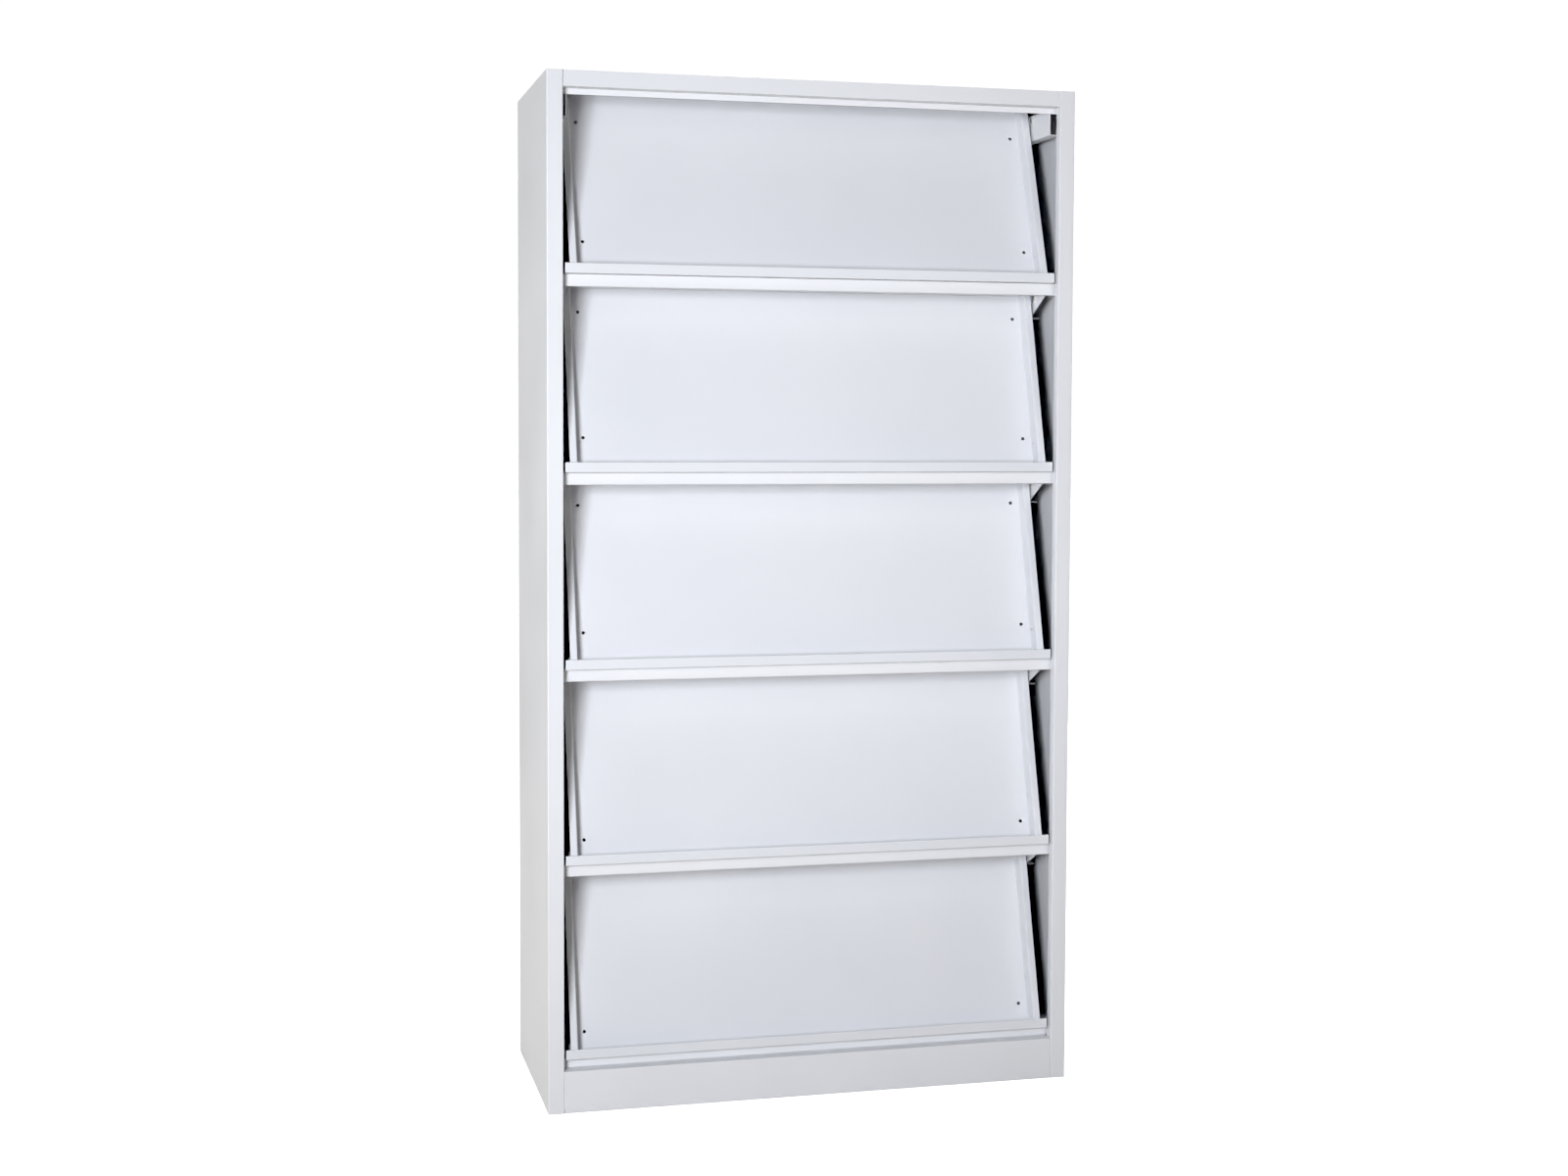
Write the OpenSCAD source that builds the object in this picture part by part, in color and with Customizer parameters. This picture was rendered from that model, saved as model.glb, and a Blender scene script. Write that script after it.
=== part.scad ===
// Steel periodical cabinet: five sloping display boards in front of five storage shelves.
// Each board hangs on two pins near its top edge. It swings up to level and then slides
// back along two slotted rails, which uncovers the storage space behind it.
// Origin: centre of the footprint, on the floor. +Z is up, the front faces -Y.
// A depth is measured backwards from the front plane, an inset inwards from the outer side.

/* [Cabinet] */
// Overall width
cabinet_w = 955; // [800:5:1200]
// Overall depth
cabinet_d = 396; // [390:2:450]
// Overall height
cabinet_h = 1800; // [1780:5:1840]
// How much higher the top tier is than the others
top_tier_extra = 1.5; // [0:0.5:6]
// Thickness of the carcass sheet
carcass_t = 1; // [0.8:0.1:1.5]
// Inner radius of the bends
bend_r = 1; // [0.8:0.1:2.5]
// Gap at the seams between welded panels
seam = 0.3; // [0.1:0.05:0.4]

/* [Side panels] */
// Width of the front stile
stile_w = 28; // [24:1:32]
// Depth of the stile's inner return
stile_return = 18; // [12:1:20]
// Width of the flange at the rear edge
rear_flange = 18; // [12:1:24]
// Width of the flange that stands on the floor
floor_flange = 20; // [12:1:26]

/* [Top, shelves and base] */
// Height of the rail across the top of the front
top_rail_h = 28; // [24:1:36]
// Height of the set-back lip below that rail
top_lip_h = 10; // [6:1:14]
// Depth of the down-turned flanges of the top
top_flange = 18; // [12:1:22]
// Depth at which the shelf fronts and the top lip stand
lip_setback = 24; // [22:1:30]
// Thickness of the shelf sheet
shelf_t = 1; // [0.8:0.1:1.5]
// Height of a shelf's front lip
shelf_lip_h = 21.5; // [18:0.5:24]
// Depth of the fold under that lip
lip_fold = 12; // [8:1:16]
// Height of a shelf's side flanges
shelf_flange = 10; // [8:0.5:10.5]
// Height of the upstand at a shelf's rear edge
shelf_upstand = 15; // [10:1:20]
// Height of the plinth
plinth_h = 74; // [60:1:90]
// Height of the lowest shelf's face above the plinth
base_rise = 17; // [14:1:20]
// Depth of the plinth's fold on the floor
plinth_fold = 20; // [14:1:26]
// Flange width of the channel under the rear edge
base_channel = 32; // [20:1:36]

/* [Display boards] */
// Thickness of the board and ledge sheet
board_t = 1; // [0.8:0.1:1.3]
// Inset of a board's outer edge
board_inset = 42; // [42:0.5:46]
// Width of a board's side lips
board_lip = 13; // [12:0.5:16]
// Depth of the recess between the side lips
board_recess = 28; // [22:1:30]
// How far a board runs on above its pins
board_tail = 14; // [12:1:15]
// How much less than the top rail and its lip the uppermost board runs on
top_tail_gap = 4; // [3:1:8]
// Flange folded forward at a board's top edge
board_fold = 10; // [6:1:16]
// Depth of the pin axis
pin_depth = 100; // [94:1:106]
// The same for the uppermost board, which leans more
pin_depth_top = 120; // [112:1:126]
// Depth of the side lips at foot height
foot_depth = 20; // [19:0.5:26]
// Height above the shelf where that depth is taken
foot_height = 20; // [16:1:26]
// Distance of the pin axis in front of the side lips
pin_ahead = 5; // [4.8:0.1:6]
// Diameter of the small holes in the boards
hole_d = 6; // [3:0.5:8]
// Inset of the holes in the face
hole_inset = 71; // [64:1:80]
// Distance of the lower holes up the board, on the three upper ones
hole_low_upper = 62; // [54:1:70]
// Distance of the lower holes up the board, on the two lower ones
hole_low_lower = 38; // [30:1:46]
// Distance of the upper holes up the board
hole_high = 292; // [284:1:298]
// Distance of the side holes up the board, on the three upper ones
side_hole_upper = 53; // [44:1:62]
// Distance of the side holes up the board, on the two lower ones
side_hole_lower = 86; // [76:1:96]
// Distance of the side holes behind the side lips
side_hole_back = 21; // [10:1:22]
// Width of the stiffener behind a board
stiffener_w = 70; // [60:2:90]
// Depth of that stiffener
stiffener_depth = 15; // [8:1:18]

/* [Ledges] */
// Inset of a ledge's ends
ledge_inset = 32.5; // [31:0.5:36]
// Depth of a ledge's front lip
ledge_depth = 9; // [6:0.5:10]
// Height of the front lip
ledge_h = 17.7; // [15:0.1:20]
// Height of the hem folded down inside the lip
ledge_hem = 8; // [6:0.5:10]
// Gap inside that fold
hem_gap = 0.3; // [0.2:0.05:0.6]
// Clearance between a ledge and the shelf under it
ledge_gap = 0.3; // [0.2:0.05:0.5]
// Length of the leg behind the board
ledge_leg = 18; // [12:1:24]
// Clearance in front of the shelf lip with the board stowed
stow_gap = 2; // [1.5:0.5:5]

/* [Slide rails] */
// Thickness of the rail sheet
rail_t = 1.5; // [1:0.1:1.8]
// Inset of the rail's inner face
rail_inset = 38; // [36:0.5:38]
// Depth of a rail below the lip above the tier
rail_drop = 38; // [30:1:44]
// Rise of a rail above that lip's lower edge
rail_rise = 10; // [9:0.5:10.5]
// Height of the rail's welding lip
rail_lip = 12; // [8:1:16]
// Width of the flange along a rail's lower edge
rail_foot = 18; // [12:1:24]
// Depth of the square front end of the top rails
rail_front_top = 27; // [26:1:34]
// Depth of the tapered front end of the other rails
rail_front = 44; // [38:1:50]
// Length of that taper
rail_taper = 76; // [50:2:90]
// Gap behind a rail
rail_rear_gap = 6; // [4:1:10]
// Least length of rail behind its slot
rail_web = 8; // [4:1:12]

/* [Pins and slide blocks] */
// Diameter of a pin
pin_d = 6; // [5:0.5:6.5]
// Radial clearance of a pin in its slide block
pin_fit = 0.08; // [0.03:0.01:0.1]
// Diameter of a pin's head
head_d = 8; // [7.5:0.1:8.4]
// Thickness of the heads
head_t = 1.5; // [1:0.1:2]
// Diameter of the retaining clips
clip_d = 12; // [10:0.5:13]
// Thickness of the retaining clips
clip_t = 1.2; // [0.8:0.1:1.5]
// How far a pin's tip stands out of its clip
pin_tip = 1; // [0.5:0.1:1.5]
// Thickness of the pivot brackets
bracket_t = 1.5; // [1.2:0.1:1.6]
// Outer radius of a bracket's ear
ear_r = 7; // [6:0.5:8]
// Length of a bracket's welding leg
bracket_leg = 26; // [20:1:30]
// Height of a slide block in its slot
block_h = 10; // [9:0.5:10]
// Length of a slide block in its slot
block_l = 18; // [14:1:22]
// Rim that a block's flanges stand proud by
block_rim = 2.5; // [1.5:0.5:3]
// Thickness of a block's flanges
block_flange = 1.5; // [1:0.1:1.6]
// Clearance between block and slot
slide_play = 0.2; // [0.1:0.05:0.25]

/* [Hidden] */
$fn = 48;

// Tiers are numbered from the top down
tiers = 5;
// The two lowest boards have the other hole pattern
first_lower_board = 4;

paint_white = "#E4E8EF";
board_white = "#DCE2EE";
zinc = "#B9BEC4";
nylon = "#E6E4DC";

half_w = cabinet_w / 2;
front_y = -cabinet_d / 2;
inner_half_w = half_w - carcass_t - seam;
stile_half_w = half_w - stile_w - seam;
inner_rear = cabinet_d - 2 * carcass_t;
shelf_rear = inner_rear - seam;
rail_rear = inner_rear - rail_rear_gap;
base_top = plinth_h + base_rise;
tier_pitch = (cabinet_h - base_top - top_tier_extra) / tiers;
hem_t = 2 * board_t + hem_gap;
// How far a cut runs past what it cuts, and the end play in a slot
over = 1;
end_play = 1;

// Heights of a tier: its shelf surface and the lower edge of the lip above it
function shelf_z(k) = base_top + (tiers - k) * tier_pitch;
function lip_z(k) = k == 1 ? cabinet_h - top_rail_h - top_lip_h : shelf_z(k - 1) - shelf_lip_h;
function pin_height(k) = lip_z(k) - shelf_z(k);

// Depth of a board's pin axis
function pin_y(k) = k == 1 ? pin_depth_top : pin_depth;

// Lean of a board from upright
function lean(k) =
    let (run = pin_y(k) - foot_depth, rise = pin_height(k) - foot_height)
    atan2(run, rise) + asin(pin_ahead / norm([run, rise]));

// Distance down the board from the pins, of a point at a depth and a height over the shelf
function down_board(k, depth, height) =
    (pin_y(k) - depth) * sin(lean(k)) + (pin_height(k) - height) * cos(lean(k));

// The same for a height on a plane parallel to the board, at a distance behind the pins
function down_plane(k, behind, height) =
    (pin_height(k) - height - behind * sin(lean(k))) / cos(lean(k));

// How far a board runs on above its pins: the uppermost one reaches up behind the top rail
function tail(k) = k == 1 ? top_rail_h + top_lip_h - top_tail_gap : board_tail;

// Depth of such a plane at a height over the shelf
function plane_depth(k, behind, height) =
    pin_y(k) - down_plane(k, behind, height) * sin(lean(k)) + behind * cos(lean(k));

// Place on such a plane, in the board's own frame, at a distance up it from the shelf's level
function up_board(k, behind, distance) = distance - down_plane(k, behind, 0);

// Travel of the pins until the raised ledge stands in front of the lip, or the rail ends
function travel(k) = min(rail_rear - rail_web - end_play - block_l / 2,
    lip_setback - stow_gap + down_board(k, ledge_depth + hem_t, ledge_gap + ledge_h)) - pin_y(k);

function slot_front(k) = pin_y(k) - block_l / 2 - end_play;
function slot_rear(k) = pin_y(k) + travel(k) + block_l / 2 + end_play;

// Insets of the parts along a pin, from the rail outwards to the board
block_in = rail_inset + slide_play;
block_out = rail_inset - rail_t - slide_play;
ear_in = board_inset - seam;
pin_end = block_out - block_flange - seam - clip_t - pin_tip;

// A vector of length one
function unit(v) = v / norm(v);

// Sheet bent along a path of its middle line, with true round bends
module folded_strip(path, t, r) {
    mid_r = r + t / 2;
    last = len(path) - 1;
    bends = [1:last - 1];
    heading = [for (i = [0:last - 1]) unit(path[i + 1] - path[i])];
    side = [for (h = heading) [-h[1], h[0]] * t / 2];
    turn = [for (i = [0:last]) i == 0 || i == last ? 0 : acos(heading[i - 1] * heading[i])];
    before = [for (i = bends) path[i] - heading[i - 1] * mid_r * tan(turn[i] / 2)];
    after = [for (i = bends) path[i] + heading[i] * mid_r * tan(turn[i] / 2)];
    centre = [for (i = bends)
        path[i] + unit(heading[i] - heading[i - 1]) * mid_r / cos(turn[i] / 2)];
    right = [for (i = bends) each [before[i - 1] - side[i - 1], after[i - 1] - side[i]]];
    left = [for (i = [last - 1:-1:1]) each [after[i - 1] + side[i], before[i - 1] + side[i - 1]]];
    difference() {
        union() {
            polygon(concat([path[0] - side[0]], right, [path[last] - side[last - 1]],
                [path[last] + side[last - 1]], left, [path[0] + side[0]]));
            for (i = bends) translate(centre[i - 1]) intersection() {
                circle(r + t);
                polygon([for (p = [centre[i - 1], before[i - 1], path[i], after[i - 1]])
                    (p - centre[i - 1]) * 2]);
            }
        }
        for (c = centre) translate(c) circle(r);
    }
}

// An outline of depths and heights, extruded across the width
module across(x0, x1) {
    translate([x0, front_y, 0]) rotate([90, 0, 90]) linear_extrude(x1 - x0) children();
}

// An outline of insets and heights at the left side, extruded from front to rear
module along(depth0, depth1) {
    translate([-half_w, front_y + depth1, 0]) rotate([90, 0, 0])
        linear_extrude(depth1 - depth0) children();
}

// A block at the left side, from one corner to the other, as inset, depth and height
module left_block(low, high) {
    translate([low[0] - half_w, front_y + low[1], low[2]]) cube(high - low);
}

module both_sides() {
    children();
    mirror([1, 0, 0]) children();
}

// The board's own frame: pins at the origin, Y behind them, Z up the board
module on_board(k) {
    translate([0, front_y + pin_y(k), lip_z(k)]) rotate([-lean(k), 0, 0]) children();
}

// A cylinder along X at the left side, between two insets, in the board's frame
module left_rod(inset0, inset1, d) {
    translate([inset0 - half_w, 0, 0]) rotate([0, 90, 0]) cylinder(h = inset1 - inset0, d = d);
}

// Side wall with stile, stile return and rear flange folded from one sheet
module side_panel() {
    mid = carcass_t / 2;
    top_clear = cabinet_h - carcass_t - seam;
    sheet_front = carcass_t + bend_r + seam;
    difference() {
        union() {
            linear_extrude(cabinet_h) folded_strip([
                [-half_w + rear_flange, -front_y - mid],
                [-half_w + mid, -front_y - mid],
                [-half_w + mid, front_y + mid],
                [-half_w + stile_w - mid, front_y + mid],
                [-half_w + stile_w - mid, front_y + stile_return]
            ], carcass_t, bend_r);
            left_block([mid, plinth_fold + over, 0],
                [floor_flange, inner_rear - base_channel - over, carcass_t]);
        }
        left_block([carcass_t + bend_r, sheet_front - seam, top_clear],
            [stile_w + over, stile_return + over, cabinet_h + over]);
    }
}

module left_side_panel() {
    color(paint_white) side_panel();
}

module right_side_panel() {
    color(paint_white) mirror([1, 0, 0]) side_panel();
}

// Top sheet with the front rail, the set-back lip and the flanges
module top_panel() {
    mid = carcass_t / 2;
    lip_mid = lip_setback + mid;
    return_z = cabinet_h - top_rail_h + mid;
    sheet_edge = carcass_t + bend_r + seam;
    color(paint_white) {
        across(-stile_half_w, stile_half_w) folded_strip([
            [lip_mid, lip_z(1)],
            [lip_mid, return_z],
            [mid, return_z],
            [mid, cabinet_h - mid],
            [cabinet_d - mid, cabinet_h - mid],
            [cabinet_d - mid, cabinet_h - top_flange]
        ], carcass_t, bend_r);
        both_sides() {
            across(-inner_half_w, over - stile_half_w) folded_strip([
                [stile_return + over, return_z],
                [lip_mid, return_z],
                [lip_mid, lip_z(1)]
            ], carcass_t, bend_r);
            left_block([carcass_t + seam, sheet_edge, cabinet_h - carcass_t],
                [stile_w + seam + over, cabinet_d - sheet_edge, cabinet_h]);
            left_block([carcass_t + seam, lip_setback + lip_fold, cabinet_h - top_flange],
                [2 * carcass_t + seam, inner_rear - lip_fold, cabinet_h]);
        }
    }
}

// Flat sheet seated inside the rear flanges
module back_panel() {
    edge = carcass_t + bend_r + seam;
    color(paint_white)
        translate([edge - half_w, front_y + inner_rear, carcass_t + seam])
            cube([cabinet_w - 2 * edge, carcass_t, cabinet_h - edge - carcass_t - seam]);
}

// Front face of the base, with a fold on the floor and one under the lowest shelf
module plinth() {
    mid = carcass_t / 2;
    color(paint_white) across(-stile_half_w, stile_half_w) folded_strip([
        [plinth_fold, mid],
        [mid, mid],
        [mid, plinth_h - mid],
        [lip_setback + lip_fold, plinth_h - mid]
    ], carcass_t, bend_r);
}

// Channel between floor and lowest shelf along the rear
module base_channel_rear() {
    mid = carcass_t / 2;
    web = inner_rear - seam - mid;
    flange_z = base_top - shelf_t - mid;
    end_x = inner_half_w - shelf_t - seam;
    color(paint_white) across(-end_x, end_x) folded_strip([
        [inner_rear - base_channel, mid],
        [web, mid],
        [web, flange_z],
        [inner_rear - base_channel, flange_z]
    ], carcass_t, bend_r);
}

// Shelf with a folded front lip, side flanges and a rear upstand
module shelf_panel(top_z, lip_h) {
    mid = shelf_t / 2;
    color(paint_white) {
        across(-inner_half_w, inner_half_w) folded_strip([
            [lip_setback + lip_fold, top_z - lip_h + mid],
            [lip_setback + mid, top_z - lip_h + mid],
            [lip_setback + mid, top_z - mid],
            [shelf_rear - mid, top_z - mid],
            [shelf_rear - mid, top_z + shelf_upstand]
        ], shelf_t, bend_r);
        both_sides() left_block(
            [carcass_t + seam, lip_setback + lip_fold, top_z - shelf_flange],
            [carcass_t + seam + shelf_t, shelf_rear - lip_fold, top_z - mid]);
    }
}

// Slotted channel that carries one end of a board, welded to the side wall
module left_rail(k) {
    mid = rail_t / 2;
    low = lip_z(k) - rail_drop;
    high = lip_z(k) + rail_rise;
    nose = k == 1 ? rail_front_top : rail_front;
    slot_h = block_h + 2 * slide_play;
    difference() {
        along(nose, rail_rear) folded_strip([
            [rail_inset - rail_foot, low + mid],
            [rail_inset - mid, low + mid],
            [rail_inset - mid, high - mid],
            [carcass_t + mid, high - mid],
            [carcass_t + mid, high - rail_lip]
        ], rail_t, bend_r);
        left_block([rail_inset - rail_t - over, slot_front(k), lip_z(k) - slot_h / 2],
            [rail_inset + over, slot_rear(k), lip_z(k) + slot_h / 2]);
        if (k > 1) across(-half_w, -half_w + rail_inset + over) polygon([
            [nose - over, lip_z(k)],
            [nose, lip_z(k)],
            [nose + rail_taper, low],
            [nose + rail_taper, low - over],
            [nose - over, low - over]
        ]);
    }
}

module rail_left(k) {
    color(paint_white) left_rail(k);
}

module rail_right(k) {
    color(paint_white) mirror([1, 0, 0]) left_rail(k);
}

// Recessed board between two side lips, cut off level above the bend of its ledge
module display_board(k) {
    mid = board_t / 2;
    edge_x = half_w - board_inset;
    wall_x = edge_x - board_lip + mid;
    lip_y = pin_ahead + mid;
    face_y = lip_y + board_recess;
    foot = up_board(k, 0, -face_y);
    lower = k >= first_lower_board;
    low_hole = lower ? hole_low_lower : hole_low_upper;
    side_hole = lower ? side_hole_lower : side_hole_upper;
    side_y = pin_ahead + side_hole_back;
    color(board_white) difference() {
        on_board(k) difference() {
            union() {
                translate([0, 0, foot]) linear_extrude(tail(k) - foot) folded_strip([
                    [-edge_x, lip_y],
                    [-wall_x, lip_y],
                    [-wall_x, face_y],
                    [wall_x, face_y],
                    [wall_x, lip_y],
                    [edge_x, lip_y]
                ], board_t, bend_r);
                translate([-wall_x + bend_r + board_t, face_y - board_fold, tail(k) - board_t])
                    cube([2 * (wall_x - bend_r - board_t), board_fold, board_t]);
            }
            both_sides() {
                for (up = lower ? [low_hole] : [low_hole, hole_high])
                    translate([hole_inset - half_w, face_y, up_board(k, face_y, up)])
                        rotate([90, 0, 0]) cylinder(h = 4 * board_t, d = hole_d, center = true);
                translate([-wall_x, side_y, up_board(k, side_y, side_hole)])
                    rotate([0, 90, 0]) cylinder(h = 4 * board_t, d = hole_d, center = true);
            }
        }
        translate([-half_w, front_y - cabinet_d, shelf_z(k) - tier_pitch])
            cube([cabinet_w, 2 * cabinet_d, tier_pitch + ledge_gap + board_t + bend_r]);
    }
}

// Trough along the foot of a board: hemmed front lip, floor and a leg behind the board.
// The ends stop short of the leg, so that a stowed ledge clears the rails.
module ledge(k) {
    mid = board_t / 2;
    low = ledge_gap + mid;
    top = ledge_gap + ledge_h;
    front = ledge_depth + mid;
    behind = pin_ahead + board_recess + board_t + mid;
    heel = plane_depth(k, behind, low);
    hem_r = hem_gap / 2;
    color(board_white) translate([0, 0, shelf_z(k)]) difference() {
        across(ledge_inset - half_w, half_w - ledge_inset) {
            folded_strip([
                [front, top - hem_r - board_t],
                [front, low],
                [heel, low],
                [heel + ledge_leg * sin(lean(k)), low + ledge_leg * cos(lean(k))]
            ], board_t, bend_r);
            translate([ledge_depth + board_t + hem_r, top - hem_r - board_t]) {
                intersection() {
                    difference() {
                        circle(hem_r + board_t);
                        circle(hem_r);
                    }
                    translate([-hem_t, 0]) square([2 * hem_t, hem_t]);
                }
                translate([hem_r, -ledge_hem]) square([board_t, ledge_hem]);
            }
        }
        both_sides() left_block([ledge_inset - over, heel - bend_r - 2 * board_t, 0],
            [board_inset, heel + ledge_leg, ledge_gap + ledge_leg + over]);
    }
}

// Hat-shaped stiffener across the rear of a board
module board_stiffener(k) {
    mid = board_t / 2;
    rear = pin_ahead + board_recess + board_t;
    crown = rear + stiffener_depth - mid;
    half = stiffener_w / 2;
    middle = -down_plane(k, rear, pin_height(k) / 2);
    length = half_w - board_inset - board_lip - stiffener_depth;
    color(board_white) on_board(k)
        translate([-length, 0, middle]) rotate([90, 0, 90]) linear_extrude(2 * length)
            folded_strip([
                [rear + mid, -half],
                [rear + mid, -half / 2],
                [crown, -half / 2],
                [crown, half / 2],
                [rear + mid, half / 2],
                [rear + mid, half]
            ], board_t, bend_r);
}

// Ear beside the board's edge, on a leg welded behind the side lip
module pivot_brackets(k) {
    back = pin_ahead + board_t;
    leg_end = board_inset + board_lip - board_t - bend_r - seam;
    color(zinc) on_board(k) both_sides() difference() {
        union() {
            left_rod(ear_in - bracket_t, ear_in, 2 * ear_r);
            translate([ear_in - bracket_t - half_w, 0, -ear_r])
                cube([bracket_t, back + bracket_t, 2 * ear_r]);
            translate([ear_in - bracket_t - half_w, back, board_tail - bracket_leg])
                cube([leg_end - ear_in + bracket_t, bracket_t, bracket_leg]);
        }
        left_rod(ear_in - bracket_t - over, ear_in + over, pin_d + 2 * pin_fit);
    }
}

// Headed pins, from inside the ears through the slide blocks
module pivot_pins(k) {
    color(zinc) on_board(k) both_sides() {
        left_rod(pin_end, ear_in + head_t / 2, pin_d);
        left_rod(ear_in, ear_in + head_t, head_d);
    }
}

// Push-on clips that hold the pins in the blocks
module pin_clips(k) {
    outer = block_out - block_flange - seam;
    color(zinc) on_board(k) both_sides() difference() {
        left_rod(outer - clip_t, outer, clip_d);
        left_rod(outer - clip_t - over, outer + over, pin_d + 2 * pin_fit);
    }
}

// Flanged nylon blocks that run in the rails' slots
module slide_blocks(k) {
    rim_h = block_h + 2 * block_rim;
    rim_l = block_l + 2 * block_rim;
    color(nylon) translate([0, front_y + pin_y(k), lip_z(k)]) both_sides() difference() {
        union() {
            translate([block_out - half_w, -block_l / 2, -block_h / 2])
                cube([block_in - block_out, block_l, block_h]);
            for (inset = [block_out - block_flange, block_in])
                translate([inset - half_w, -rim_l / 2, -rim_h / 2])
                    cube([block_flange, rim_l, rim_h]);
        }
        left_rod(block_out - block_flange - over, block_in + block_flange + over,
            pin_d + 2 * pin_fit);
    }
}

left_side_panel();
right_side_panel();
top_panel();
back_panel();
plinth();
base_channel_rear();
shelf_panel(base_top, base_rise);  // bottom_shelf
for (k = [1:tiers - 1])
    shelf_panel(shelf_z(k), shelf_lip_h);
for (k = [1:tiers]) {
    rail_left(k);
    rail_right(k);
    display_board(k);
    ledge(k);
    board_stiffener(k);
    pivot_brackets(k);
    pivot_pins(k);
    pin_clips(k);
    slide_blocks(k);
}
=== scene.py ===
import math

import bmesh
import bpy
from mathutils import Matrix, Vector


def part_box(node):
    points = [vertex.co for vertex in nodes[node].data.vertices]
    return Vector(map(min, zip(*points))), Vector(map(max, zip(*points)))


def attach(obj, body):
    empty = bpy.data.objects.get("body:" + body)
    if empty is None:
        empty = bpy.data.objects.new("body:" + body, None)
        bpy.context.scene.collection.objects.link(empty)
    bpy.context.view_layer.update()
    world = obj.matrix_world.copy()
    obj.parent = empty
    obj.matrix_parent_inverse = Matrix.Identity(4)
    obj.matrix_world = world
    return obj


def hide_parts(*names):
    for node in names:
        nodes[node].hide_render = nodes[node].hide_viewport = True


# Steel periodical cabinet in white powder coat: finishes, hardware, light and camera.
# The cabinet's open front faces -Y. Lengths are in metres unless a name ends in Mm.

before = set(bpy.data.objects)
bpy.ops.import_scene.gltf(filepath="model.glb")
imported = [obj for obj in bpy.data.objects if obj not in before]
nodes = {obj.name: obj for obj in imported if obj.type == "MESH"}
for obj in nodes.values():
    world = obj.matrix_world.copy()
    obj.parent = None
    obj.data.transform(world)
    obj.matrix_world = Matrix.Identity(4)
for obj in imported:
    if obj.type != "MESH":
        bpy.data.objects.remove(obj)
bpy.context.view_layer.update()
tiers = range(1, 6)
mm = 0.001
noiseBand = (0.3, 0.7)  # most of a noise's values lie between these
sharpAngle = math.radians(35)  # edges steeper than this stay crisp
flatAngle = math.radians(0.5)  # faces closer than this are one flat face
mergeGap = 1e-6  # points closer than this are one point


def fromHex(text):  # an sRGB hex colour as linear RGBA
    parts = [int(text[i:i + 2], 16) / 255 for i in (1, 3, 5)]
    return [c / 12.92 if c <= 0.04045 else ((c + 0.055) / 1.055) ** 2.4 for c in parts] + [1.0]


def addNode(tree, kind, inputs=None, **settings):  # one shader node, its settings and its links
    made = tree.nodes.new(kind)
    for key, value in settings.items():
        setattr(made, key, value)
    for key, value in (inputs or {}).items():
        if isinstance(value, bpy.types.NodeSocket):
            tree.links.new(value, made.inputs[key])
        else:
            made.inputs[key].default_value = value
    return made


def newMaterial(name):
    made = bpy.data.materials.new(name)
    made.use_nodes = True
    made.node_tree.nodes.clear()
    return made, made.node_tree


def powderCoat(look):
    # Polyester powder coat, sprayed and baked on steel: an even white, near neutral, with a soft,
    # broad gloss, a faint orange peel, and a tint that drifts a little over a panel.
    material, tree = newMaterial(look["name"])
    place = addNode(tree, "ShaderNodeTexCoord").outputs["Object"]
    drift = addNode(tree, "ShaderNodeTexNoise", {
        "Vector": place, "Scale": 1 / (look["driftMm"] * mm), "Detail": 2.0, "Roughness": 0.5})
    tint = addNode(tree, "ShaderNodeValToRGB", {"Fac": drift.outputs["Fac"]})
    for stop, position, shade in zip(tint.color_ramp.elements, noiseBand, look["shades"]):
        stop.position, stop.color = position, fromHex(shade)
    peel = addNode(tree, "ShaderNodeTexNoise", {
        "Vector": place, "Scale": 1 / (look["peelMm"] * mm), "Detail": 1.0, "Roughness": 0.4})
    grain = addNode(tree, "ShaderNodeTexNoise", {
        "Vector": place, "Scale": 1 / (look["grainMm"] * mm), "Detail": 0.0})
    height = addNode(tree, "ShaderNodeMath", {
        0: grain.outputs["Fac"], 1: look["grainShare"], 2: peel.outputs["Fac"]},
        operation="MULTIPLY_ADD")
    bump = addNode(tree, "ShaderNodeBump", {
        "Height": height.outputs["Value"], "Strength": 1.0, "Distance": look["peelDepthMm"] * mm})
    gloss = addNode(tree, "ShaderNodeMapRange", {
        "Value": drift.outputs["Fac"], "From Min": noiseBand[0], "From Max": noiseBand[1],
        "To Min": look["roughness"][0], "To Max": look["roughness"][1]})
    shader = addNode(tree, "ShaderNodeBsdfPrincipled", {
        "Base Color": tint.outputs["Color"], "Roughness": gloss.outputs["Result"],
        "Metallic": 0.0, "IOR": 1.5, "Normal": bump.outputs["Normal"]})
    addNode(tree, "ShaderNodeOutputMaterial", {"Surface": shader.outputs["BSDF"]})
    return material


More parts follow.
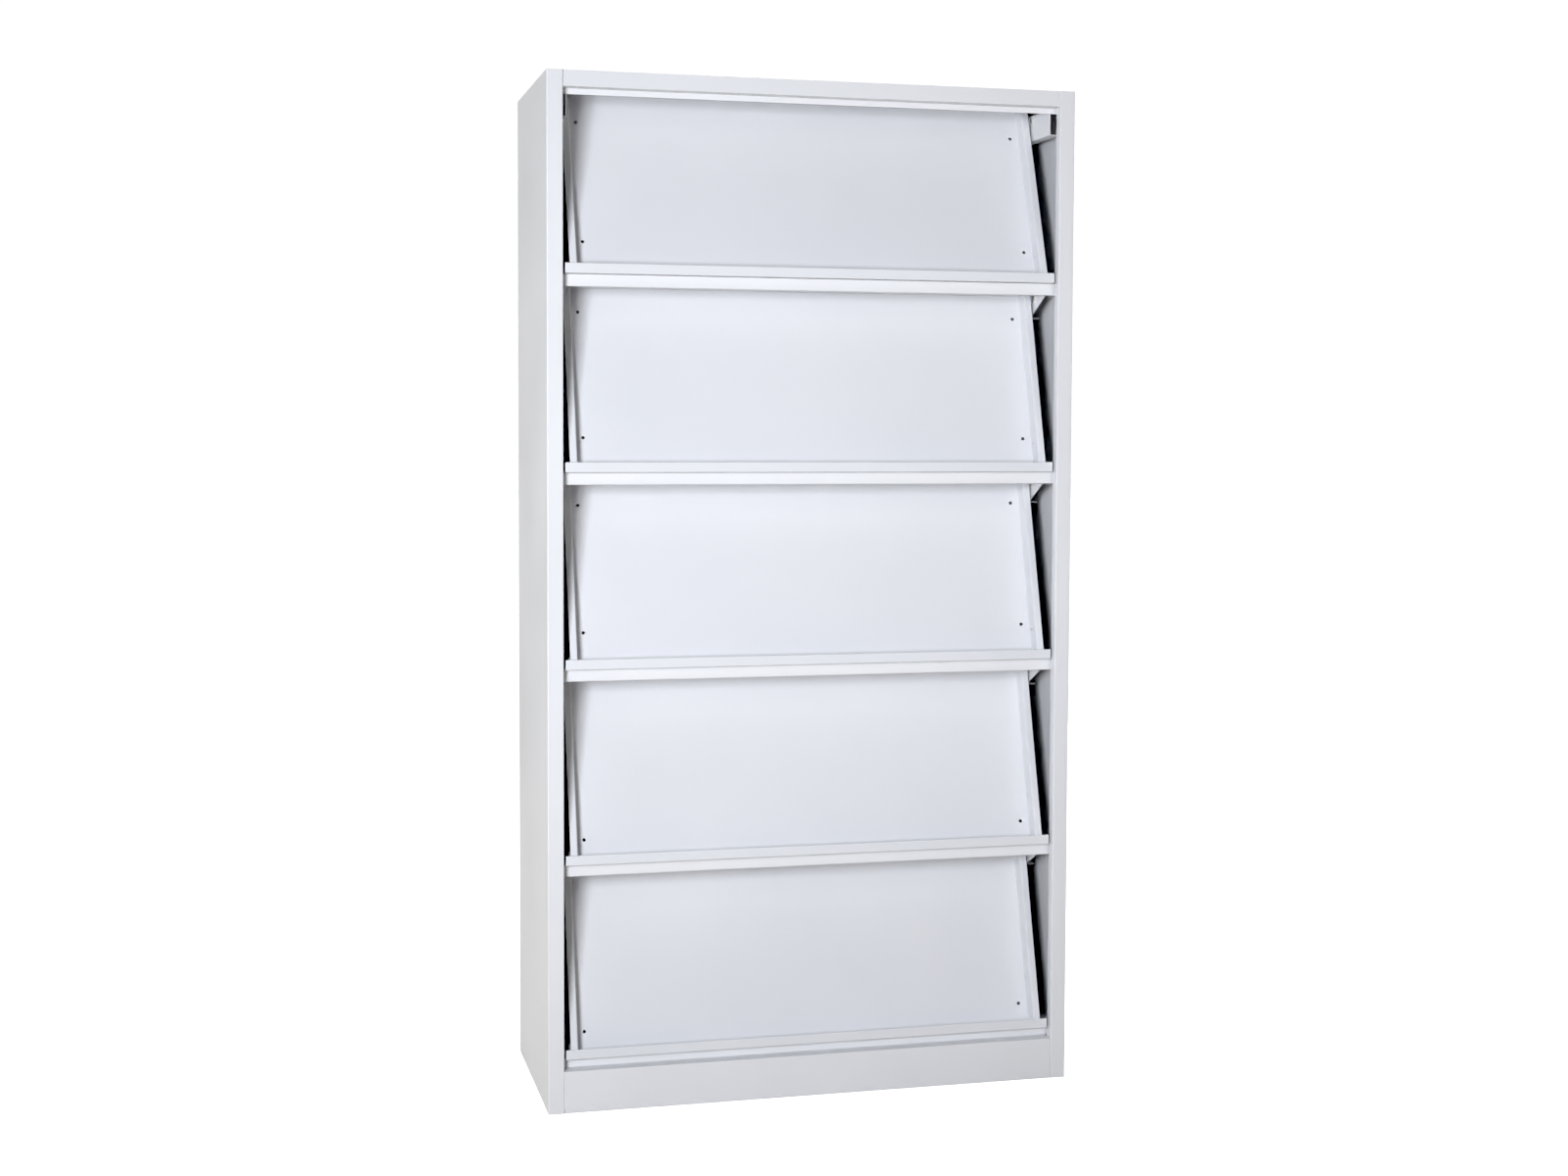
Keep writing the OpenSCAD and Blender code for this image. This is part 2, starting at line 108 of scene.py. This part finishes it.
def zincPlate(look):
    # Bright zinc plate on punched and turned steel: grey-blue metal with fine drawing marks
    # and cloudy patches of passivation.
    material, tree = newMaterial(look["name"])
    place = addNode(tree, "ShaderNodeTexCoord").outputs["Object"]
    cloud = addNode(tree, "ShaderNodeTexNoise", {
        "Vector": place, "Scale": 1 / (look["cloudMm"] * mm), "Detail": 3.0})
    tint = addNode(tree, "ShaderNodeValToRGB", {"Fac": cloud.outputs["Fac"]})
    for stop, position, shade in zip(tint.color_ramp.elements, look["cloudBand"], look["shades"]):
        stop.position, stop.color = position, fromHex(shade)
    stretched = addNode(tree, "ShaderNodeMapping", {
        "Vector": place, "Scale": (look["lineStretch"], 1.0, 1.0)})
    lines = addNode(tree, "ShaderNodeTexNoise", {
        "Vector": stretched.outputs["Vector"], "Scale": 1 / (look["lineMm"] * mm), "Detail": 2.0})
    bump = addNode(tree, "ShaderNodeBump", {
        "Height": lines.outputs["Fac"], "Strength": 1.0, "Distance": look["lineDepthMm"] * mm})
    gloss = addNode(tree, "ShaderNodeMapRange", {
        "Value": cloud.outputs["Fac"], "From Min": noiseBand[0], "From Max": noiseBand[1],
        "To Min": look["roughness"][0], "To Max": look["roughness"][1]})
    shader = addNode(tree, "ShaderNodeBsdfPrincipled", {
        "Base Color": tint.outputs["Color"], "Roughness": gloss.outputs["Result"],
        "Metallic": 1.0, "Normal": bump.outputs["Normal"]})
    addNode(tree, "ShaderNodeOutputMaterial", {"Surface": shader.outputs["BSDF"]})
    return material


def mouldedNylon(look):
    # Injection-moulded natural nylon: a milky off-white satin with its mould's fine spark texture,
    # and light that sinks in a little before it comes back.
    material, tree = newMaterial(look["name"])
    place = addNode(tree, "ShaderNodeTexCoord").outputs["Object"]
    spark = addNode(tree, "ShaderNodeTexNoise", {
        "Vector": place, "Scale": 1 / (look["sparkMm"] * mm), "Detail": 2.0})
    tint = addNode(tree, "ShaderNodeValToRGB", {"Fac": spark.outputs["Fac"]})
    for stop, position, shade in zip(tint.color_ramp.elements, noiseBand, look["shades"]):
        stop.position, stop.color = position, fromHex(shade)
    bump = addNode(tree, "ShaderNodeBump", {
        "Height": spark.outputs["Fac"], "Strength": 1.0, "Distance": look["sparkDepthMm"] * mm})
    shader = addNode(tree, "ShaderNodeBsdfPrincipled", {
        "Base Color": tint.outputs["Color"], "Roughness": look["roughness"],
        "Metallic": 0.0, "IOR": 1.53, "Normal": bump.outputs["Normal"],
        "Subsurface Weight": look["milky"], "Subsurface Scale": look["depthMm"] * mm,
        "Subsurface Radius": (1.0, 0.9, 0.8)})
    addNode(tree, "ShaderNodeOutputMaterial", {"Surface": shader.outputs["BSDF"]})
    return material


# The orange peel of a powder coat is 2 to 3 mm across: it is drawn at 7 mm to show at all.
# driftMm is how far apart the changes of tint lie, grainMm the fine grit in the paint.
cabinetCoat = powderCoat({
    "name": "cabinetPowderCoat", "shades": ("#E8E8E9", "#EBEBEC"), "driftMm": 210,
    "peelMm": 7, "grainMm": 1.6, "grainShare": 0.15, "peelDepthMm": 0.03,
    "roughness": (0.40, 0.46)})
boardCoat = powderCoat({
    "name": "boardPowderCoat", "shades": ("#E4E5E7", "#E8E8EA"), "driftMm": 260,
    "peelMm": 7, "grainMm": 1.6, "grainShare": 0.15, "peelDepthMm": 0.03,
    "roughness": (0.42, 0.48)})
# Drawing marks are about 0.2 mm apart, and a mould's spark texture is finer still: the marks
# are drawn at 0.8 mm and the sparks at 0.9 mm.
zincSteel = zincPlate({
    "name": "zincPlatedSteel", "shades": ("#B4BAC1", "#CDD1D5"), "cloudMm": 9,
    "cloudBand": (0.35, 0.65), "lineMm": 0.8, "lineStretch": 0.08, "lineDepthMm": 0.02,
    "roughness": (0.28, 0.42)})
naturalNylon = mouldedNylon({
    "name": "naturalNylon", "shades": ("#DEDCD2", "#E5E3DA"), "sparkMm": 0.9,
    "sparkDepthMm": 0.02, "roughness": 0.48, "milky": 0.25, "depthMm": 0.8})
print("finishes made")


def finishOf(nodeName):
    if nodeName.startswith(("display_board", "ledge", "board_stiffener")):
        return boardCoat
    if nodeName.startswith(("pivot_brackets", "pivot_pins", "pin_clips")):
        return zincSteel
    return naturalNylon if nodeName.startswith("slide_blocks") else cabinetCoat


for nodeName, part in nodes.items():
    part.data.materials.clear()
    part.data.materials.append(finishOf(nodeName))
print("cabinet finished")


def finishPiece(name, mesh, material, body, stands=()):  # a bmesh to a riding piece
    bmesh.ops.remove_doubles(mesh, verts=mesh.verts, dist=mergeGap)
    bmesh.ops.recalc_face_normals(mesh, faces=mesh.faces)
    for face in mesh.faces:
        face.smooth = True
    for edge in mesh.edges:
        edge.smooth = edge.is_manifold and edge.calc_face_angle() < sharpAngle
    data = bpy.data.meshes.new(name)
    mesh.to_mesh(data)
    mesh.free()
    data.materials.append(material)
    made = bpy.data.objects.new(name, data)
    bpy.context.scene.collection.objects.link(made)
    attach(made, body)
    if stands:
        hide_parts(*stands)


def turn(mesh, profile, axisAt, steps):  # spins (x, radius) points about a line along X
    ring = [mesh.verts.new((x, axisAt[0], axisAt[1] + radius)) for x, radius in profile]
    edges = [mesh.edges.new(pair) for pair in zip(ring, ring[1:])]
    bmesh.ops.spin(mesh, geom=ring + edges, cent=(0, *axisAt), axis=(1, 0, 0),
                   angle=math.tau, steps=steps, use_merge=True)


def mirrorAcross(mesh):  # adds the right side's copy of what was made at the left
    bmesh.ops.mirror(mesh, geom=mesh.verts[:] + mesh.edges[:] + mesh.faces[:],
                     matrix=Matrix.Identity(4), merge_dist=mergeGap, axis="X")


def axisOf(nodeName):  # where a pair of turned parts has its axis, as (y, z)
    low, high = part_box(nodeName)
    return (low[1] + high[1]) / 2, (low[2] + high[2]) / 2


# Pivot pins: cold-headed, with a low dome, a rolled edge and a chamfered tip
pivotPin = {
    "shankMm": 3.0, "headMm": 4.0, "headHeightMm": 1.5, "rollMm": 0.25, "domeMm": 0.35,
    "chamferMm": 0.5, "lengthMm": 10.9, "steps": 32,
}
for tier in tiers:
    nodeName = f"pivot_pins_{tier}"
    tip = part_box(nodeName)[0][0] / mm
    under = tip + pivotPin["lengthMm"] - pivotPin["headHeightMm"]
    end = tip + pivotPin["lengthMm"]
    shank, head, roll = pivotPin["shankMm"], pivotPin["headMm"], pivotPin["rollMm"]
    outline = [
        (tip, 0), (tip, shank - pivotPin["chamferMm"]), (tip + pivotPin["chamferMm"], shank),
        (under, shank), (under, head - roll), (under + roll, head),
        (end - pivotPin["domeMm"] - roll, head), (end - pivotPin["domeMm"], head - roll),
        (end - pivotPin["domeMm"] / 4, head / 2), (end, 0)]
    mesh = bmesh.new()
    turn(mesh, [(x * mm, r * mm) for x, r in outline], axisOf(nodeName), pivotPin["steps"])
    mirrorAcross(mesh)
    finishPiece(f"pivotPins{tier}", mesh, zincSteel, f"board_{tier}", [nodeName])

# Push-on clips: dished spring steel, with teeth cut into the inner edge
pushClip = {
    "rimMm": 6.0, "outerFlatMm": 1.6, "innerFlatMm": 1.4, "biteMm": 3.1, "notchMm": 4.1,
    "sheetMm": 0.5, "deepMm": 1.2, "teeth": 6, "stepsPerTooth": 6, "notchSteps": 2,
}
clipSteps = pushClip["teeth"] * pushClip["stepsPerTooth"]
for tier in tiers:
    nodeName = f"pin_clips_{tier}"
    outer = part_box(nodeName)[0][0] / mm
    inner = outer + pushClip["deepMm"]
    rim, bite, sheet = pushClip["rimMm"], pushClip["biteMm"], pushClip["sheetMm"]
    outline = [
        (inner, rim), (inner, rim - pushClip["outerFlatMm"]), (outer + sheet, bite),
        (outer, bite + sheet / 2), (inner - sheet, rim - pushClip["innerFlatMm"]),
        (inner - sheet, rim), (inner, rim)]
    mesh = bmesh.new()
    axisAt = axisOf(nodeName)
    turn(mesh, [(x * mm, r * mm) for x, r in outline], axisAt, clipSteps)
    for v in mesh.verts:
        across = Vector((v.co.y - axisAt[0], v.co.z - axisAt[1]))
        step = round(math.atan2(across.y, across.x) / math.tau * clipSteps)
        inNotch = step % pushClip["stepsPerTooth"] < pushClip["notchSteps"]
        if inNotch and across.length < (bite + sheet) * mm:
            v.co.yz = Vector(axisAt) + across.normalized() * pushClip["notchMm"] * mm
    mirrorAcross(mesh)
    finishPiece(f"pushClips{tier}", mesh, zincSteel, f"board_{tier}", [nodeName])


def softened(nodeName, name, edgeMm, material, body):  # a CAD part with its edges broken
    mesh = bmesh.new()
    mesh.from_mesh(nodes[nodeName].data)
    bmesh.ops.remove_doubles(mesh, verts=mesh.verts, dist=mergeGap)
    bmesh.ops.dissolve_limit(mesh, angle_limit=flatAngle, verts=mesh.verts, edges=mesh.edges)
    sharp = [e for e in mesh.edges if e.is_manifold and e.calc_face_angle() > sharpAngle]
    bmesh.ops.bevel(mesh, geom=sharp, offset=edgeMm * mm, offset_type="OFFSET", affect="EDGES",
                    segments=2, profile=0.5, material=-1, clamp_overlap=True)
    finishPiece(name, mesh, material, body, [nodeName])


# Small parts with the edges that moulding and tumbling leave
brokenEdge = {"slideBlockMm": 0.45, "pivotBracketMm": 0.2}
for tier in tiers:
    softened(f"slide_blocks_{tier}", f"slideBlocks{tier}", brokenEdge["slideBlockMm"],
             naturalNylon, f"carriage_{tier}")
    softened(f"pivot_brackets_{tier}", f"pivotBrackets{tier}", brokenEdge["pivotBracketMm"],
             zincSteel, f"board_{tier}")
print("pivot hardware made")

# Spot welds: shallow rings that the electrodes leave on the back panel, under the paint
spotWeld = {
    "outerMm": 3.2, "rimMm": 2.5, "hollowMm": 1.7, "proudMm": 0.14, "hollowProudMm": 0.03,
    "centreProudMm": 0.02, "sunkMm": 0.05, "steps": 16, "acrossCount": 9, "upCount": 5,
    "edgeMm": 9, "aboveShelfMm": 7,
}
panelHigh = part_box("back_panel")[1]
mark = [
    (0, spotWeld["centreProudMm"]), (spotWeld["hollowMm"], spotWeld["hollowProudMm"]),
    (spotWeld["rimMm"], spotWeld["proudMm"]), (spotWeld["outerMm"], -spotWeld["sunkMm"]),
    (0, -spotWeld["sunkMm"])]
rows = sorted(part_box(n)[1][2] - spotWeld["aboveShelfMm"] * mm
              for n in ("bottom_shelf", "shelf_1", "shelf_2", "shelf_3", "shelf_4"))
edgeX = panelHigh[0] - spotWeld["edgeMm"] * mm
spots = [(edgeX * (2 * i / (spotWeld["acrossCount"] - 1) - 1), z)
         for z in rows for i in range(spotWeld["acrossCount"])]
levels = rows + [panelHigh[2] - spotWeld["aboveShelfMm"] * mm]
for low, high in zip(levels, levels[1:]):
    for i in range(1, spotWeld["upCount"]):
        spots += [(side * edgeX, low + (high - low) * i / spotWeld["upCount"]) for side in (-1, 1)]
mesh = bmesh.new()
for x, z in spots:
    before = set(mesh.verts)
    ring = [mesh.verts.new((r * mm, h * mm, 0)) for r, h in mark]
    edges = [mesh.edges.new(pair) for pair in zip(ring, ring[1:])]
    bmesh.ops.spin(mesh, geom=ring + edges, cent=(0, 0, 0), axis=(0, 1, 0),
                   angle=math.tau, steps=spotWeld["steps"], use_merge=True)
    fresh = [v for v in mesh.verts if v not in before]
    bmesh.ops.translate(mesh, vec=(x, panelHigh[1], z), verts=fresh)
finishPiece("spotWelds", mesh, cabinetCoat, "cabinet")
print("spot welds made")

# Studio: a white sweep to the camera, which lights the cabinet only as a warm grey floor and a
# dim sky would. The sun's spread and the softboxes' spreads are in degrees.
studio = {
    "floorShades": ("#F1F1EF", "#F4F4F3"), "floorCloud": 0.7, "floorHalf": 30.0,
    "floorGlow": 1.25, "floorBounce": "#BFB9AE",
    "skyHigh": "#C4D2EE", "skyLow": "#ECEEF2", "skyStrength": 0.07, "backdrop": 1.05,
    "sunStrength": 0.12, "sunSpread": 30, "sunFrom": (-0.2, -0.35, 4.0),
    "blackLevel": 0.03,
}
# Place, width and height in metres, power in watts, spread in degrees, colour. The key gives no
# glint: its reflection would bleach the left side where that is seen from behind.
softboxes = {
    "key": {"place": (-1.82, -3.4, 1.26), "size": (0.76, 1.1), "watts": 42, "spread": 100,
            "shade": "#F3F7FF", "aim": (0.2, 0, 1.1), "glint": False},
    "fill": {"place": (1.4, -2.9, 2.2), "size": (1.2, 1.2), "watts": 11, "spread": 180,
             "shade": "#FFFCF7", "aim": (0, 0, 1.2), "glint": True},
    "side": {"place": (-3.6, 0.9, 1.2), "size": (2.0, 2.0), "watts": 63, "spread": 180,
             "shade": "#FFFFFF", "aim": (0, 0, 0.9), "glint": True},
    "rear": {"place": (3.3, 3.2, 1.5), "size": (2.6, 2.6), "watts": 150, "spread": 180,
             "shade": "#FFFFFF", "aim": (0, 0, 0.9), "glint": True},
    "top": {"place": (0.3, 0.5, 3.7), "size": (1.5, 1.5), "watts": 32, "spread": 180,
            "shade": "#FFFFFF", "aim": (0, 0.15, 1.8), "glint": True},
}


def aimed(name, light, place, target):
    lamp = bpy.data.objects.new(name, light)
    bpy.context.scene.collection.objects.link(lamp)
    lamp.location = place
    lamp.rotation_euler = (Vector(target) - Vector(place)).to_track_quat("-Z", "Y").to_euler()
    return lamp


sun = bpy.data.lights.new("overheadSun", "SUN")
sun.energy, sun.angle = studio["sunStrength"], math.radians(studio["sunSpread"])
aimed("overheadSun", sun, studio["sunFrom"], (0, 0, 0))
for name, made in softboxes.items():
    box = bpy.data.lights.new(name + "Softbox", "AREA")
    box.shape, box.energy, box.spread = "RECTANGLE", made["watts"], math.radians(made["spread"])
    box.size, box.size_y = made["size"]
    box.color = fromHex(made["shade"])[:3]
    lamp = aimed(name + "Softbox", box, made["place"], made["aim"])
    lamp.visible_glossy = made["glint"]

floorMaterial, tree = newMaterial("paleFloor")
place = addNode(tree, "ShaderNodeTexCoord").outputs["Object"]
cloud = addNode(tree, "ShaderNodeTexNoise", {
    "Vector": place, "Scale": studio["floorCloud"], "Detail": 1.0})
tint = addNode(tree, "ShaderNodeValToRGB", {"Fac": cloud.outputs["Fac"]})
for stop, shade in zip(tint.color_ramp.elements, studio["floorShades"]):
    stop.color = fromHex(shade)
matte = addNode(tree, "ShaderNodeBsdfDiffuse", {"Color": tint.outputs["Color"]})
glow = addNode(tree, "ShaderNodeEmission", {
    "Color": tint.outputs["Color"], "Strength": studio["floorGlow"]})
white = addNode(tree, "ShaderNodeAddShader", {
    0: matte.outputs["BSDF"], 1: glow.outputs["Emission"]})
grey = addNode(tree, "ShaderNodeBsdfDiffuse", {"Color": fromHex(studio["floorBounce"])})
ray = addNode(tree, "ShaderNodeLightPath").outputs["Is Camera Ray"]
seen = addNode(tree, "ShaderNodeMixShader", {
    0: ray, 1: grey.outputs["BSDF"], 2: white.outputs["Shader"]})
addNode(tree, "ShaderNodeOutputMaterial", {"Surface": seen.outputs["Shader"]})
mesh = bmesh.new()
bmesh.ops.create_grid(mesh, x_segments=1, y_segments=1, size=studio["floorHalf"])
data = bpy.data.meshes.new("floor")
mesh.to_mesh(data)
mesh.free()
data.materials.append(floorMaterial)
floor = bpy.data.objects.new("floor", data)
bpy.context.scene.collection.objects.link(floor)

world = bpy.data.worlds.new("studioSky")
bpy.context.scene.world = world
world.use_nodes = True
tree = world.node_tree
tree.nodes.clear()
direction = addNode(tree, "ShaderNodeTexCoord").outputs["Generated"]
split = addNode(tree, "ShaderNodeSeparateXYZ", {"Vector": direction})
sky = addNode(tree, "ShaderNodeValToRGB", {"Fac": split.outputs["Z"]})
for stop, shade in zip(sky.color_ramp.elements, (studio["skyLow"], studio["skyHigh"])):
    stop.color = fromHex(shade)
lit = addNode(tree, "ShaderNodeBackground", {
    "Color": sky.outputs["Color"], "Strength": studio["skyStrength"]})
seen = addNode(tree, "ShaderNodeBackground", {
    "Color": (1, 1, 1, 1), "Strength": studio["backdrop"]})
ray = addNode(tree, "ShaderNodeLightPath").outputs["Is Camera Ray"]
both = addNode(tree, "ShaderNodeMixShader", {
    0: ray, 1: lit.outputs["Background"], 2: seen.outputs["Background"]})
addNode(tree, "ShaderNodeOutputWorld", {"Surface": both.outputs["Shader"]})
display = bpy.context.scene.view_settings
display.view_transform = "Standard"
display.use_curve_mapping = True
display.curve_mapping.black_level = [studio["blackLevel"]] * 3
display.curve_mapping.update()
print("studio made")

# Camera, solved from the photograph's corners: place in metres, angles in degrees
shot = {
    "place": (-0.9846, -3.8762, 1.1986), "yaw": 14.113, "down": 3.072, "roll": 0.219,
    "lens": 49.56, "sensor": 36, "shiftY": -0.03,
}
yaw, down, roll = (math.radians(shot[k]) for k in ("yaw", "down", "roll"))
ahead = Vector((math.sin(yaw) * math.cos(down), math.cos(yaw) * math.cos(down), -math.sin(down)))
level = Vector((math.cos(yaw), -math.sin(yaw), 0))
upright = level.cross(ahead)
right = math.cos(roll) * level + math.sin(roll) * upright
up = -math.sin(roll) * level + math.cos(roll) * upright
lens = bpy.data.cameras.new("photoCamera")
lens.lens, lens.sensor_width, lens.shift_y = shot["lens"], shot["sensor"], shot["shiftY"]
camera = bpy.data.objects.new("photoCamera", lens)
bpy.context.scene.collection.objects.link(camera)
camera.matrix_world = Matrix.Translation(shot["place"]) @ Matrix(
    (right, up, -ahead)).transposed().to_4x4()
bpy.context.scene.camera = camera
print("camera placed")
